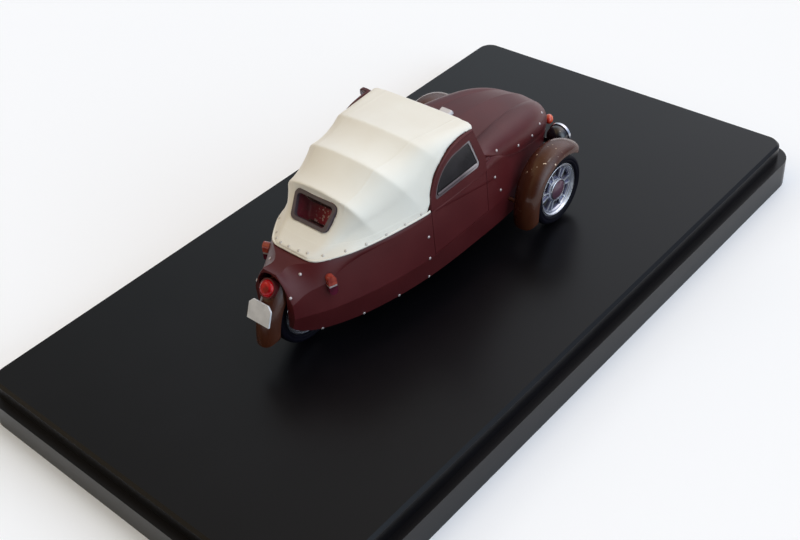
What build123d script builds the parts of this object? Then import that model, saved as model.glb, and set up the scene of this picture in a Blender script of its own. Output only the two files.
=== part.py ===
# A 1:43 display model of a three wheeled family car on a black plinth.
# Millimetres, +Z up, the car's nose towards -Y, its right side towards -X.
# The origin is the centre of the plinth's underside.
import math
import os

from build123d import *

os.makedirs("parts", exist_ok=True)

# Driving sizes of the plinth
PLINTH_WIDTH = 72.0
PLINTH_LENGTH = 132.8
PLINTH_TOP = 8.5
FLANGE_TOP = 5.4
FLANGE_OUT = 1.6
PLINTH_CORNER = 3.0
PLINTH_WALL = 2.0
PLINTH_EDGE = 0.5

# Driving sizes of the wheels and where they stand
TYRE_RADIUS = 6.6
TYRE_WIDTH = 2.6
RIM_RADIUS = 4.95
TYRE_LIFT = 0.1
AXLE_Z = PLINTH_TOP + TYRE_LIFT + TYRE_RADIUS
FRONT_AXLE_Y = -20.9
REAR_AXLE_Y = 27.6
HALF_TRACK = 14.3
STUB_RADIUS = 0.8
RUNNING_FIT = 0.05

# Walls and seams
BODY_WALL = 0.8
ROOF_WALL = 0.6
SEAM = 0.1
SILL_Z = 12.6
HEM_Z = 26.35
DOOR_REAR_Y = 8.0
DOOR_FRONT_Y = -6.4
DOOR_FOOT_Z = 17.75


def save(shape, name):
    export_step(shape, "parts/" + name + ".step")


def box(x0, x1, y0, y1, z0, z1):
    return Pos((x0 + x1) / 2, (y0 + y1) / 2, (z0 + z1) / 2) * Box(x1 - x0, y1 - y0, z1 - z0)


def rod_x(x0, x1, y, z, radius):
    return Pos((x0 + x1) / 2, y, z) * Rot(0, 90, 0) * Cylinder(radius, x1 - x0)


def rod_z(x, y, z0, z1, radius):
    return Pos(x, y, (z0 + z1) / 2) * Cylinder(radius, z1 - z0)


def rod(a, b, radius):
    a = Vector(*a)
    b = Vector(*b)
    place = Plane(origin=a, z_dir=(b - a))
    return extrude(place * Circle(radius), (b - a).length)


def mirrored(shape):
    return mirror(shape, about=Plane.YZ)


# Plinth: a raised block with rounded corners on a slightly larger flange, hollow below
def plinth_block(grow, z0, z1, corner):
    outline = RectangleRounded(PLINTH_WIDTH + 2 * grow, PLINTH_LENGTH + 2 * grow, corner)
    return Pos(0, 0, z0) * extrude(outline, z1 - z0)


POST_Y = (-10.0, 14.0)
POST_RADIUS = 2.2
SCREW_RADIUS = 0.9
SCREW_HEAD_RADIUS = 1.7
BOSS_RADIUS = 3.2
BOSS_FOOT = 3.0

block = plinth_block(0, 0, PLINTH_TOP, PLINTH_CORNER)
block = chamfer(block.faces().sort_by(Axis.Z)[-1].edges(), PLINTH_EDGE)
plinth = block + plinth_block(FLANGE_OUT, 0, FLANGE_TOP, PLINTH_CORNER + FLANGE_OUT)
plinth -= plinth_block(-PLINTH_WALL, -1, PLINTH_TOP - PLINTH_WALL, PLINTH_CORNER - 1.5)
for y in (-44.0, 44.0):
    rib = box(-PLINTH_WIDTH / 2 + 1, PLINTH_WIDTH / 2 - 1, y - 0.6, y + 0.6, 2.0, PLINTH_TOP - 1)
    plinth += rib
for y in POST_Y:
    plinth += rod_z(0, y, BOSS_FOOT, PLINTH_TOP - 1, BOSS_RADIUS)
for y in POST_Y:
    plinth -= rod_z(0, y, 0, PLINTH_TOP + 1, SCREW_RADIUS + 0.1)
save(plinth, "plinth")

# The stretched skin of the body: stations from nose to tail
# columns: y, sill z, sill half width, crease z, crease half width,
#          waist z, waist half width, top z, top half width, fullness of the shoulder
BODY = [
    (-33.8, 15.2, 1.4, 16.8, 1.9, 18.2, 2.2, 18.8, 1.8, 1.0),
    (-32.1, 14.2, 2.9, 16.9, 3.8, 18.9, 4.2, 19.4, 3.8, 1.0),
    (-29.5, 13.3, 5.2, 17.2, 6.0, 19.9, 6.4, 20.5, 5.9, 1.0),
    (-25.0, 12.8, 7.3, 17.5, 7.9, 21.0, 8.1, 21.7, 7.6, 1.0),
    (-20.0, 12.6, 9.0, 17.6, 9.3, 22.2, 9.2, 22.9, 8.8, 1.0),
    (-14.8, 12.6, 10.1, 17.6, 10.5, 23.6, 9.9, 24.6, 9.5, 1.0),
    (-12.0, 12.6, 10.3, 17.6, 10.8, 24.9, 10.4, 26.0, 9.9, 1.0),
    (-9.0, 12.6, 10.4, 17.6, 11.0, 25.5, 10.8, 27.2, 10.3, 1.0),
    (-5.5, 12.6, 10.4, 17.6, 11.2, 25.6, 11.0, 26.9, 10.5, 1.0),
    (0.0, 12.6, 10.4, 17.6, 11.3, 25.6, 11.1, 26.35, 10.7, 1.0),
    (8.4, 12.6, 10.0, 17.6, 11.3, 25.6, 11.1, 26.35, 10.7, 1.0),
    (17.3, 12.6, 8.6, 17.6, 10.0, 25.4, 9.7, 26.35, 9.3, 1.0),
    (24.5, 12.6, 6.3, 17.6, 8.0, 24.2, 7.4, 26.35, 6.8, 1.0),
    (28.4, 12.9, 4.6, 17.6, 6.45, 22.6, 6.15, 26.0, 4.1, 0.3),
    (30.1, 13.4, 4.0, 17.7, 5.6, 22.2, 5.25, 25.75, 1.9, 0.3),
    (31.7, 14.2, 3.5, 17.8, 4.8, 21.6, 4.65, 25.5, 1.4, 0.3),
    (33.3, 15.6, 3.3, 18.0, 4.1, 20.8, 4.15, 25.6, 1.4, 0.2),
]


def body_section(row, inset):
    y, zs, ws, zc, wc, zw, ww, zt, wt, full = row
    zs = zs + inset
    ws = ws - inset
    wc = wc - inset
    ww = ww - inset
    wt = max(wt - inset, 0.3)
    zt = zt - inset
    zw = min(zw, zt - 0.2)
    mid = (wt + (0.5 + 0.25 * full) * (ww - wt), zw + (0.5 + 0.15 * full) * (zt - zw))
    edges = [
        Edge.make_line((-ws, y, zs), (ws, y, zs)),
        Edge.make_line((ws, y, zs), (wc, y, zc)),
        Edge.make_line((wc, y, zc), (ww, y, zw)),
        Edge.make_three_point_arc((ww, y, zw), (mid[0], y, mid[1]), (wt, y, zt)),
        Edge.make_line((wt, y, zt), (-wt, y, zt)),
        Edge.make_three_point_arc((-wt, y, zt), (-mid[0], y, mid[1]), (-ww, y, zw)),
        Edge.make_line((-ww, y, zw), (-wc, y, zc)),
        Edge.make_line((-wc, y, zc), (-ws, y, zs)),
    ]
    return Wire(edges)


hull = Solid.make_loft([body_section(row, 0) for row in BODY])
hollow_rows = [row for row in BODY if -33 < row[0] < 33]
hollow = Solid.make_loft([body_section(row, BODY_WALL) for row in hollow_rows])
cabin_mouth = []
for row in BODY:
    if -9.5 < row[0] < 29.5:
        half = row[8] - BODY_WALL
        cabin_mouth.append((half, min(row[0], 27.8)))
mouth_points = [(-a, b) for a, b in cabin_mouth] + [(a, b) for a, b in reversed(cabin_mouth)]
mouth = Pos(0, 0, 24.0) * extrude(make_face(Polyline(*mouth_points, close=True)), 8)

# Hood: a bull nosed shield with a centre ridge and one ridge each side
# columns: y, centre z, ridge half width, ridge z, shoulder half width, shoulder z, lip half width, lip z
HOOD = [
    (-34.3, 20.3, 0.9, 20.2, 1.6, 19.8, 2.0, 19.0),
    (-32.6, 22.9, 2.1, 22.7, 3.7, 21.8, 4.1, 19.7),
    (-29.3, 25.5, 3.2, 25.1, 6.0, 24.0, 6.5, 20.8),
    (-25.0, 27.3, 4.0, 26.9, 7.7, 25.6, 8.2, 21.8),
    (-20.0, 28.5, 4.7, 28.0, 8.7, 26.7, 9.5, 23.1),
    (-14.8, 29.1, 5.4, 28.5, 9.4, 27.4, 10.2, 24.7),
    (-10.0, 29.3, 6.0, 28.5, 9.8, 28.0, 10.4, 26.8),
    (-6.6, 29.4, 6.4, 29.0, 9.4, 29.0, 10.4, 28.7),
]


def hood_section(row, inset, drop):
    y, z0, wr, zr, wm, zm, wl, zl = row
    z0 = z0 - inset
    zr = zr - inset
    wm = wm - inset * 0.7
    zm = zm - inset * 0.7
    wl = wl - inset
    edges = [
        Edge.make_line((0, y, z0), (wr, y, zr)),
        Edge.make_three_point_arc((wr, y, zr), (wm, y, zm), (wl, y, zl)),
        Edge.make_line((wl, y, zl), (wl, y, zl - drop)),
        Edge.make_line((wl, y, zl - drop), (-wl, y, zl - drop)),
        Edge.make_line((-wl, y, zl - drop), (-wl, y, zl)),
        Edge.make_three_point_arc((-wl, y, zl), (-wm, y, zm), (-wr, y, zr)),
        Edge.make_line((-wr, y, zr), (0, y, z0)),
    ]
    return Wire(edges)


hood_solid = Solid.make_loft([hood_section(row, 0, 0.3) for row in HOOD])
hood_core = Solid.make_loft([hood_section(row, BODY_WALL, 1.6) for row in HOOD[1:]])
save(hood_solid - hood_core, "hood")

# Tail opening that the rear fender moves in
ARCH_HALF = 3.0
ARCH_TOP = 25.15
ARCH_FOOT_HALF = 2.35
ARCH_FOOT_Z = 15.0
arch_spring = ARCH_TOP - ARCH_HALF
arch_outline = Polyline(
    (-ARCH_HALF, arch_spring), (-ARCH_FOOT_HALF, ARCH_FOOT_Z), (-ARCH_FOOT_HALF, 5.0),
    (ARCH_FOOT_HALF, 5.0), (ARCH_FOOT_HALF, ARCH_FOOT_Z), (ARCH_HALF, arch_spring), close=True,
)
arch_plane = Plane(origin=(0, 40, 0), x_dir=(1, 0, 0), z_dir=(0, -1, 0))
arch = extrude(arch_plane * make_face(arch_outline), 20)
arch += Pos(0, 30, ARCH_TOP - ARCH_HALF) * Rot(90, 0, 0) * Cylinder(ARCH_HALF, 20)

shell = hull - hollow
shell = shell - mouth
shell = shell - hood_solid
shell = shell - arch

# The floor plate fills an opening in the underside
PLATE_GAP = 0.1


def floor_outline(grow):
    rows = [row for row in BODY if -31 < row[0] < 18]
    right = [(-(row[2] - BODY_WALL - 0.5 + grow), row[0]) for row in rows]
    left = [((row[2] - BODY_WALL - 0.5 + grow), row[0]) for row in reversed(rows)]
    return make_face(Polyline(*(right + left), close=True))


shell = shell - Pos(0, 0, SILL_Z - 1) * extrude(floor_outline(PLATE_GAP), 3)
BEAM_HALF = 1.1
BEAM_THICK = 0.5
shell = shell - box(-12, 12, FRONT_AXLE_Y - BEAM_HALF - 0.2, FRONT_AXLE_Y + BEAM_HALF + 0.2,
                    AXLE_Z - STUB_RADIUS - 0.2, AXLE_Z + STUB_RADIUS + 0.2)


# Doors: cut from the skin, with a curved frame above the waist
def door_side(side):
    lower = (hull - hollow - mouth) & box(5, 13, DOOR_FRONT_Y + SEAM, DOOR_REAR_Y - SEAM, DOOR_FOOT_Z + SEAM, HEM_Z + 0.2)
    return lower


door_gap = box(5, 13, DOOR_FRONT_Y, DOOR_REAR_Y, DOOR_FOOT_Z, HEM_Z + 2)
shell = shell - door_gap - mirrored(door_gap)
save(shell, "body_shell")

FRAME_OUT = 11.1
FRAME_IN = 10.4
FRAME_REAR = DOOR_REAR_Y - SEAM
FRAME_FRONT = DOOR_FRONT_Y + SEAM
WAIST_Z = 26.0


def side_plate(face, x0, x1):
    """Face drawn with y and z as its two directions, thickened from x0 to x1."""
    place = Plane(origin=(x0, 0, 0), x_dir=(0, 1, 0), z_dir=(1, 0, 0))
    return extrude(place * face, x1 - x0)


def door_frame_face():
    edges = [
        Edge.make_line((FRAME_FRONT, WAIST_Z), (FRAME_REAR, WAIST_Z)),
        Edge.make_line((FRAME_REAR, WAIST_Z), (FRAME_REAR, 27.6)),
        Edge.make_three_point_arc((FRAME_REAR, 27.6), (FRAME_REAR - 1.9, 32.3), (1.5, 35.1)),
        Edge.make_three_point_arc((1.5, 35.1), (-0.8, 35.5), (-3.2, 35.5)),
        Edge.make_line((-3.2, 35.5), (FRAME_FRONT, 28.4)),
        Edge.make_line((FRAME_FRONT, 28.4), (FRAME_FRONT, WAIST_Z)),
    ]
    return make_face(edges)


def window_face(inset):
    """Opening of the door window with its corners rounded."""
    low = 27.6 + inset
    rear = 6.75 - inset
    front = -4.85 + inset * 1.1
    top = 34.25 - inset
    edges = [
        Edge.make_line((front, low + 0.25), (rear, low)),
        Edge.make_three_point_arc((rear, low), (5.3 - inset * 0.8, 31.6 - inset * 0.5), (1.8 - inset * 0.3, top - 0.45)),
        Edge.make_line((1.8 - inset * 0.3, top - 0.45), (-2.25 + inset * 0.6, top)),
        Edge.make_line((-2.25 + inset * 0.6, top), (front, low + 0.25)),
    ]
    face = make_face(edges)
    corners = face.vertices().sort_by(Axis.Y)
    face = fillet(corners[:2], 0.7)
    tip = face.vertices().sort_by(Axis.Y)[-1:]
    return fillet(tip, 0.5)


door_upper = side_plate(door_frame_face(), FRAME_IN, FRAME_OUT)
window_hole = side_plate(window_face(0), FRAME_IN - 1, FRAME_OUT + 1)
lower = door_side(1)
door_left = (lower + door_upper) - window_hole
save(door_left, "door_left")
save(mirrored(door_left), "door_right")

# A grey bead round each door window holds the pane
BEAD = 0.4
bead_left = side_plate(window_face(0), FRAME_IN + 0.15, FRAME_OUT - 0.1) - side_plate(window_face(BEAD), FRAME_IN, FRAME_OUT)
save(bead_left, "window_bead_left")
save(mirrored(bead_left), "window_bead_right")
glass_left = side_plate(window_face(BEAD), FRAME_IN + 0.25, FRAME_IN + 0.5)
save(glass_left, "door_glass_left")
save(mirrored(glass_left), "door_glass_right")

# Fabric roof: bows fan out from the foot of the door pillar, the cloth sags between them
# columns: top y, top z, crown, flat half width, hem y, hem z, hem half width, shoulder half width, shoulder share
ROOF_FRONT = (-3.9, 36.35, 0.2, 9.3, -3.9, 34.8, 11.0, 10.9, 0.4)
ROOF_SAG_A = (2.0, 36.7, 0.4, 8.3, 0.4, 34.0, 11.05, 10.6, 0.4)
ROOF_BOW_A = (7.0, 37.3, 0.8, 7.0, 4.4, 33.0, 11.1, 10.3, 0.42)
ROOF_SAG_B = (10.9, 36.2, 0.8, 6.3, 6.7, 29.7, 11.1, 10.2, 0.45)
ROOF_BOW_B = (14.8, 36.3, 0.8, 6.1, 9.0, HEM_Z, 11.15, 10.1, 0.55)
ROOF_SAG_C = (18.2, 34.4, 0.8, 5.2, 13.4, HEM_Z, 10.5, 9.1, 0.5)
ROOF_BOW_C = (21.6, 33.6, 0.8, 5.0, 18.0, HEM_Z, 9.6, 8.2, 0.5)
ROOF_WIN_A = (22.1, 31.6, 0.3, 4.6, 21.0, HEM_Z, 8.9, 7.1, 0.5)
ROOF_WIN_B = (24.4, 28.7, 0.15, 3.9, 23.9, HEM_Z, 7.9, 5.9, 0.5)
ROOF_SKIRT = (26.6, 27.3, 0.1, 3.4, 26.6, HEM_Z - 0.2, 6.2, 4.9, 0.5)
ROOF_REAR = (28.4, 26.75, 0.05, 2.6, 28.4, HEM_Z - 0.45, 4.05, 3.6, 0.5)


def roof_section(row, inset, slope, drop):
    yt, zt, crown, wt, yh, zh, wh, wa, sa = row
    yt = yt - inset * slope[0]
    zt = zt - inset * slope[1]
    wh = wh - inset
    wa = wa - inset
    wt = max(wt - inset * 0.4, 0.5)
    run = zt - zh
    lean = (yt - yh) / run
    yh = yh - lean * drop
    zh = zh - drop

    def at(x, share):
        return (x, yh + share * (yt - yh), zh + share * (zt - zh))

    mid = (wt + 0.64 * (wa - wt), sa + 0.64 * (1 - sa))
    peak = 1 + crown / (zt - zh)
    edges = [
        Edge.make_line(at(-wh, 0), at(wh, 0)),
        Edge.make_line(at(wh, 0), at(wa, sa)),
        Edge.make_three_point_arc(at(wa, sa), at(*mid), at(wt, 1)),
        Edge.make_three_point_arc(at(wt, 1), at(0, peak), at(-wt, 1)),
        Edge.make_three_point_arc(at(-wt, 1), at(-mid[0], mid[1]), at(-wa, sa)),
        Edge.make_line(at(-wa, sa), at(-wh, 0)),
    ]
    return Wire(edges)


def roof_panel(rows, inset, slopes, drop):
    return Solid.make_loft([roof_section(r, inset, s, drop) for r, s in zip(rows, slopes)])


UP = (0.0, 1.0)
LEAN = (0.35, 0.94)
STEEP = (0.87, 0.5)
HALF = (0.6, 0.8)
PANELS = [
    ([ROOF_FRONT, ROOF_SAG_A, ROOF_BOW_A], [UP, UP, UP]),
    ([ROOF_BOW_A, ROOF_SAG_B, ROOF_BOW_B], [UP, UP, UP]),
    ([ROOF_BOW_B, ROOF_SAG_C, ROOF_BOW_C], [UP, LEAN, HALF]),
    ([ROOF_BOW_C, ROOF_WIN_A, ROOF_WIN_B, ROOF_SKIRT, ROOF_REAR], [HALF, STEEP, HALF, LEAN, LEAN]),
]
roof = None
roof_core = None
for rows, slopes in PANELS:
    outer = roof_panel(rows, 0, slopes, 0)
    inner = roof_panel(rows, ROOF_WALL, slopes, 0.8)
    roof = outer if roof is None else roof + outer
    roof_core = inner if roof_core is None else roof_core + inner
roof = roof - roof_core

# Flat plates that lean: windscreen and rear window
def leaning_plate(foot, head, half_foot, half_head, corner, grow, near, far):
    length = math.dist(foot, head)
    dy = (head[0] - foot[0]) / length
    dz = (head[1] - foot[1]) / length
    place = Plane(origin=(0, foot[0], foot[1]), x_dir=(1, 0, 0), z_dir=(0, -dz, dy))
    points = [
        (-half_foot - grow, -grow),
        (half_foot + grow, -grow),
        (half_head + grow, length + grow),
        (-half_head - grow, length + grow),
    ]
    face = make_face(Polyline(*points, close=True))
    if corner > 0:
        face = fillet(face.vertices(), corner + grow * 0.5)
    return extrude(place.offset(near) * face, far - near)


SCREEN = ((-5.9, 29.6), (-3.9, 35.0), 9.4, 9.2, 0.5)
FRAME_RIM = 0.6
screen_frame = leaning_plate(*SCREEN, FRAME_RIM, -0.3, 0.3) - leaning_plate(*SCREEN, 0, -1, 1)
save(screen_frame - hood_solid, "windscreen_frame")
save(leaning_plate(*SCREEN, 0, -0.15, 0.15), "windscreen_glass")

REAR_PANE = ((23.83, 29.25), (21.7, 32.17), 3.15, 3.9, 0.6)
rear_frame = leaning_plate(*REAR_PANE, FRAME_RIM, -0.35, 0.35) - leaning_plate(*REAR_PANE, 0, -2, 2)
save(rear_frame, "rear_window_frame")
save(leaning_plate(*REAR_PANE, 0, -0.05, 0.2), "rear_window_glass")

roof = roof - leaning_plate(*REAR_PANE, FRAME_RIM, -4, 4)
roof = roof - hull
door_zone = box(8, 12, DOOR_FRONT_Y - 3, FRAME_REAR, 24, 28)
door_zone += side_plate(door_frame_face(), FRAME_IN - 1, FRAME_IN + 3)
roof = roof - door_zone - mirrored(door_zone)
screen_zone = leaning_plate((-8, 24.0), SCREEN[1], 12, 12, 0, FRAME_RIM + 0.02, -0.3, 5)
roof = roof - screen_zone
save(roof, "roof")

# Floor of the car with two posts down to the plinth
FLOOR_TOP = SILL_Z + 1.2
floor = Pos(0, 0, SILL_Z) * extrude(floor_outline(0), FLOOR_TOP - SILL_Z)
for y in POST_Y:
    floor += rod_z(0, y, PLINTH_TOP, SILL_Z + 0.4, POST_RADIUS)
save(floor, "chassis")

for name, y in (("screw_front", POST_Y[0]), ("screw_rear", POST_Y[1])):
    screw = rod_z(0, y, BOSS_FOOT - 1.0, BOSS_FOOT, SCREW_HEAD_RADIUS)
    screw += rod_z(0, y, BOSS_FOOT - 0.5, PLINTH_TOP, SCREW_RADIUS)
    save(screw, name)

# Wheels: a rounded tyre on a dished rim with six openings, each between two raised ribs
RIM_HALF = TYRE_WIDTH / 2 - 0.35
HUB_RADIUS = 1.9
CAP_RADIUS = 1.75
OPENINGS = 6
OPENING_ANGLE = 34
OPENING_IN = 2.45
OPENING_OUT = RIM_RADIUS - 1.0
RIB_WIDTH = 0.22
RIB_HEIGHT = 0.3
DISC_FRONT = 0.25
DISC_WALL = 0.4


def spun(edges):
    """Solid of revolution round the X axis from edges drawn as (x, radius)."""
    return revolve(make_face(edges), axis=Axis.X)


def tyre():
    half = TYRE_WIDTH / 2
    side = TYRE_RADIUS - 0.85
    edges = [
        Edge.make_line((-RIM_HALF, RIM_RADIUS), (-half, RIM_RADIUS + 0.5)),
        Edge.make_line((-half, RIM_RADIUS + 0.5), (-half, side)),
        Edge.make_three_point_arc((-half, side), (-half + 0.27, side + 0.6), (-half + 0.85, TYRE_RADIUS)),
        Edge.make_line((-half + 0.85, TYRE_RADIUS), (half - 0.85, TYRE_RADIUS)),
        Edge.make_three_point_arc((half - 0.85, TYRE_RADIUS), (half - 0.27, side + 0.6), (half, side)),
        Edge.make_line((half, side), (half, RIM_RADIUS + 0.5)),
        Edge.make_line((half, RIM_RADIUS + 0.5), (RIM_HALF, RIM_RADIUS)),
        Edge.make_line((RIM_HALF, RIM_RADIUS), (-RIM_HALF, RIM_RADIUS)),
    ]
    return spun(edges)


def polar(radius, angle):
    return (radius * math.cos(math.radians(angle)), radius * math.sin(math.radians(angle)))


def rim(side):
    bore = STUB_RADIUS + RUNNING_FIT
    back = DISC_FRONT - DISC_WALL
    well = OPENING_OUT + 0.1
    line = [
        (RIM_HALF, RIM_RADIUS),
        (RIM_HALF, RIM_RADIUS - 0.35),
        (RIM_HALF - 0.3, RIM_RADIUS - 0.5),
        (RIM_HALF - 0.3, RIM_RADIUS - 0.7),
        (DISC_FRONT, well),
        (DISC_FRONT, HUB_RADIUS + 0.2),
        (RIM_HALF - 0.15, HUB_RADIUS),
        (RIM_HALF - 0.15, bore),
        (-RIM_HALF, bore),
        (-RIM_HALF, HUB_RADIUS - 0.3),
        (back, HUB_RADIUS - 0.3),
        (back, well),
        (-RIM_HALF, RIM_RADIUS - 0.45),
        (-RIM_HALF, RIM_RADIUS),
    ]
    face = make_face(Polyline(*line, close=True))
    wheel = revolve(face, axis=Axis.X)
    half = OPENING_ANGLE / 2
    gate = Plane(origin=(-5, 0, 0), x_dir=(0, 1, 0), z_dir=(1, 0, 0))
    corners = [
        polar(OPENING_IN, -half),
        polar(OPENING_OUT, -half),
        polar(OPENING_OUT, half),
        polar(OPENING_IN, half),
    ]
    opening = extrude(gate * make_face(Polyline(*corners, close=True)), 10)
    rib_length = OPENING_OUT - OPENING_IN + 0.3
    rib_middle = (OPENING_OUT + OPENING_IN) / 2
    rib = Box(RIB_HEIGHT + 0.1, rib_length, RIB_WIDTH)
    for k in range(OPENINGS):
        turn = k * 360 / OPENINGS + 90
        wheel -= Rot(turn, 0, 0) * opening
        for edge in (-half - 3, half + 3):
            place = Pos(DISC_FRONT + RIB_HEIGHT / 2 - 0.05, rib_middle, 0)
            wheel += Rot(turn + edge, 0, 0) * place * rib
    return wheel if side > 0 else mirrored(wheel)


CAP_RIM = 0.2
CAP_DOME = 0.5


def cap(side):
    """Low disc with a round dome whose centre lies on the axle's line."""
    out = RIM_HALF - 0.15
    foot = out + CAP_RIM
    ball = (CAP_RADIUS ** 2 + CAP_DOME ** 2) / (2 * CAP_DOME)
    centre = foot + CAP_DOME - ball
    half_turn = math.asin(CAP_RADIUS / ball) / 2
    middle = (centre + ball * math.cos(half_turn), ball * math.sin(half_turn))
    edges = [
        Edge.make_line((out, 0), (out, CAP_RADIUS)),
        Edge.make_line((out, CAP_RADIUS), (foot, CAP_RADIUS)),
        Edge.make_three_point_arc((foot, CAP_RADIUS), middle, (foot + CAP_DOME, 0)),
        Edge.make_line((foot + CAP_DOME, 0), (out, 0)),
    ]
    shape = spun(edges)
    return shape if side > 0 else mirrored(shape)


WHEELS = [
    ("front_left", HALF_TRACK, FRONT_AXLE_Y, 1),
    ("front_right", -HALF_TRACK, FRONT_AXLE_Y, -1),
    ("rear", 0.0, REAR_AXLE_Y, -1),
]
for name, x, y, side in WHEELS:
    at = Pos(x, y, AXLE_Z)
    save(at * tyre(), name + "_tyre")
    save(at * rim(side), name + "_rim")
    if name != "rear":
        save(at * cap(side), name + "_hub_cap")

# Front axle: two stubs held by a cross beam, under the nose
STUB_END = HALF_TRACK + RIM_HALF - 0.25
axle = rod_x(-STUB_END, STUB_END, FRONT_AXLE_Y, AXLE_Z, STUB_RADIUS)
beam_in = HALF_TRACK - TYRE_WIDTH / 2 - 0.4
axle += box(-beam_in, beam_in, FRONT_AXLE_Y - BEAM_HALF, FRONT_AXLE_Y + BEAM_HALF,
            AXLE_Z - BEAM_THICK, AXLE_Z + BEAM_THICK)
save(axle, "front_axle")

# Rear swing arm: two blades outside the wheel and the axle between them
arm_x = TYRE_WIDTH / 2 + 0.2
arm = rod_x(-arm_x - 0.5, arm_x + 0.5, REAR_AXLE_Y, AXLE_Z, STUB_RADIUS)
for s in (-1, 1):
    x0 = s * arm_x
    x1 = s * (arm_x + 0.5)
    arm += box(min(x0, x1), max(x0, x1), 19.0, REAR_AXLE_Y + 0.8, AXLE_Z - 0.7, AXLE_Z + 0.7)
save(arm, "swing_arm")


# Fenders: channels that follow the tyres and run out straighter behind them
# named values: half width, crown radius, edge radius, wall, front end angle,
#               angle where the flare starts, crown radius of the flare, rear end angle, corner radius of the ends
FRONT_FENDER = (2.6, 9.0, 7.3, 0.45, 128, 15, 20.0, -1.5, 1.9)
REAR_FENDER = (2.35, 9.6, 7.4, 0.45, 95, 20, 18.0, 3.5, 1.7)
FRONT_FENDER_X = HALF_TRACK - 0.35


def channel_line(half, crown, edge):
    rise = crown - edge
    return [
        Edge.make_three_point_arc((-half, edge), (-half * 0.87, edge + rise * 0.44), (-half * 0.55, edge + rise * 0.82)),
        Edge.make_three_point_arc((-half * 0.55, edge + rise * 0.82), (0, crown), (half * 0.55, edge + rise * 0.82)),
        Edge.make_three_point_arc((half * 0.55, edge + rise * 0.82), (half * 0.87, edge + rise * 0.44), (half, edge)),
    ]


def channel(half, crown, edge, wall, grow, a0, a1):
    """Channel section turned round an X axis from angle a0 to a1, radii larger by grow."""
    outer = channel_line(half, crown + grow, edge + grow)
    inner = channel_line(half - wall, crown + grow - wall, edge + grow)
    feet = [
        Edge.make_line((-half, edge + grow), (-half + wall, edge + grow)),
        Edge.make_line((half - wall, edge + grow), (half, edge + grow)),
    ]
    face = Rot(a0, 0, 0) * make_face(outer + inner + feet)
    return revolve(face, axis=Axis.X, revolution_arc=a1 - a0)


def fender(values, x, y):
    half, crown, edge, wall, front, join, flare, rear, corner = values
    grow = flare - crown
    join_y = y - grow * math.cos(math.radians(join))
    join_z = AXLE_Z - grow * math.sin(math.radians(join))
    shape = Pos(x, y, AXLE_Z) * channel(half, crown, edge, wall, 0, join, front)
    shape += Pos(x, join_y, join_z) * channel(half, crown, edge, wall, grow, rear, join)
    front_y = y + crown * math.cos(math.radians(front))
    low_z = join_z + flare * math.sin(math.radians(rear))
    plan = Pos(x, front_y + 20, 0) * extrude(RectangleRounded(2 * half + 0.04, 40, corner), 60)
    upright = Pos(x, y + 30, low_z + 20) * Rot(90, 0, 0) * extrude(RectangleRounded(2 * half + 0.04, 40, corner), 60)
    return shape & plan & upright


front_fender = fender(FRONT_FENDER, FRONT_FENDER_X, FRONT_AXLE_Y)
stay = rod_x(9.0, FRONT_FENDER_X - FRONT_FENDER[0] + 0.7, FRONT_AXLE_Y + 8.0, AXLE_Z + 1.0, 0.35) - hull
front_fender = front_fender + stay
save(front_fender, "fender_left")
save(mirrored(front_fender), "fender_right")
rear_fender = fender(REAR_FENDER, 0, REAR_AXLE_Y)
save(rear_fender, "fender_rear")


# Lamps, plate, mirror and wiper
def upright_plane(origin, normal):
    """Plane on a leaning surface with its second direction pointing up."""
    level = Vector(normal[1], -normal[0], 0)
    return Plane(origin=origin, x_dir=-level, z_dir=normal)


crown_disc = rod_x(-3, 3, REAR_AXLE_Y, AXLE_Z, REAR_FENDER[1])
lamp_plane = Plane(origin=(0, 34.2, 22.9), x_dir=(1, 0, 0), z_dir=(0, 0.82, 0.57))
lens = extrude(lamp_plane.offset(-1.2) * Circle(1.42), 2.0)
lens = fillet(lens.edges().sort_by(Axis.Y)[-1], 0.75)
base = extrude(lamp_plane.offset(-1.4) * Circle(1.65), 1.6)
save(lens - crown_disc, "tail_lamp")
save(base - lens - crown_disc, "tail_lamp_base")

PLATE_HALF = 2.4
PLATE_RISE = 1.74
PLATE_CLIP = 0.75
plate_plane = Plane(origin=(0, 36.6, 19.7), x_dir=(1, 0, 0), z_dir=(0, 0.93, 0.37))
plate_points = [
    (-PLATE_HALF, PLATE_RISE),
    (PLATE_HALF, PLATE_RISE),
    (PLATE_HALF, PLATE_CLIP - PLATE_RISE),
    (PLATE_HALF - PLATE_CLIP, -PLATE_RISE),
    (PLATE_CLIP - PLATE_HALF, -PLATE_RISE),
    (-PLATE_HALF, PLATE_CLIP - PLATE_RISE),
]
plate = extrude(plate_plane.offset(-0.15) * make_face(Polyline(*plate_points, close=True)), 0.3)
plate += extrude(plate_plane.offset(-1.6) * Circle(0.6), 1.5)
save(plate - crown_disc - rear_fender, "plate_rear")

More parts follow.
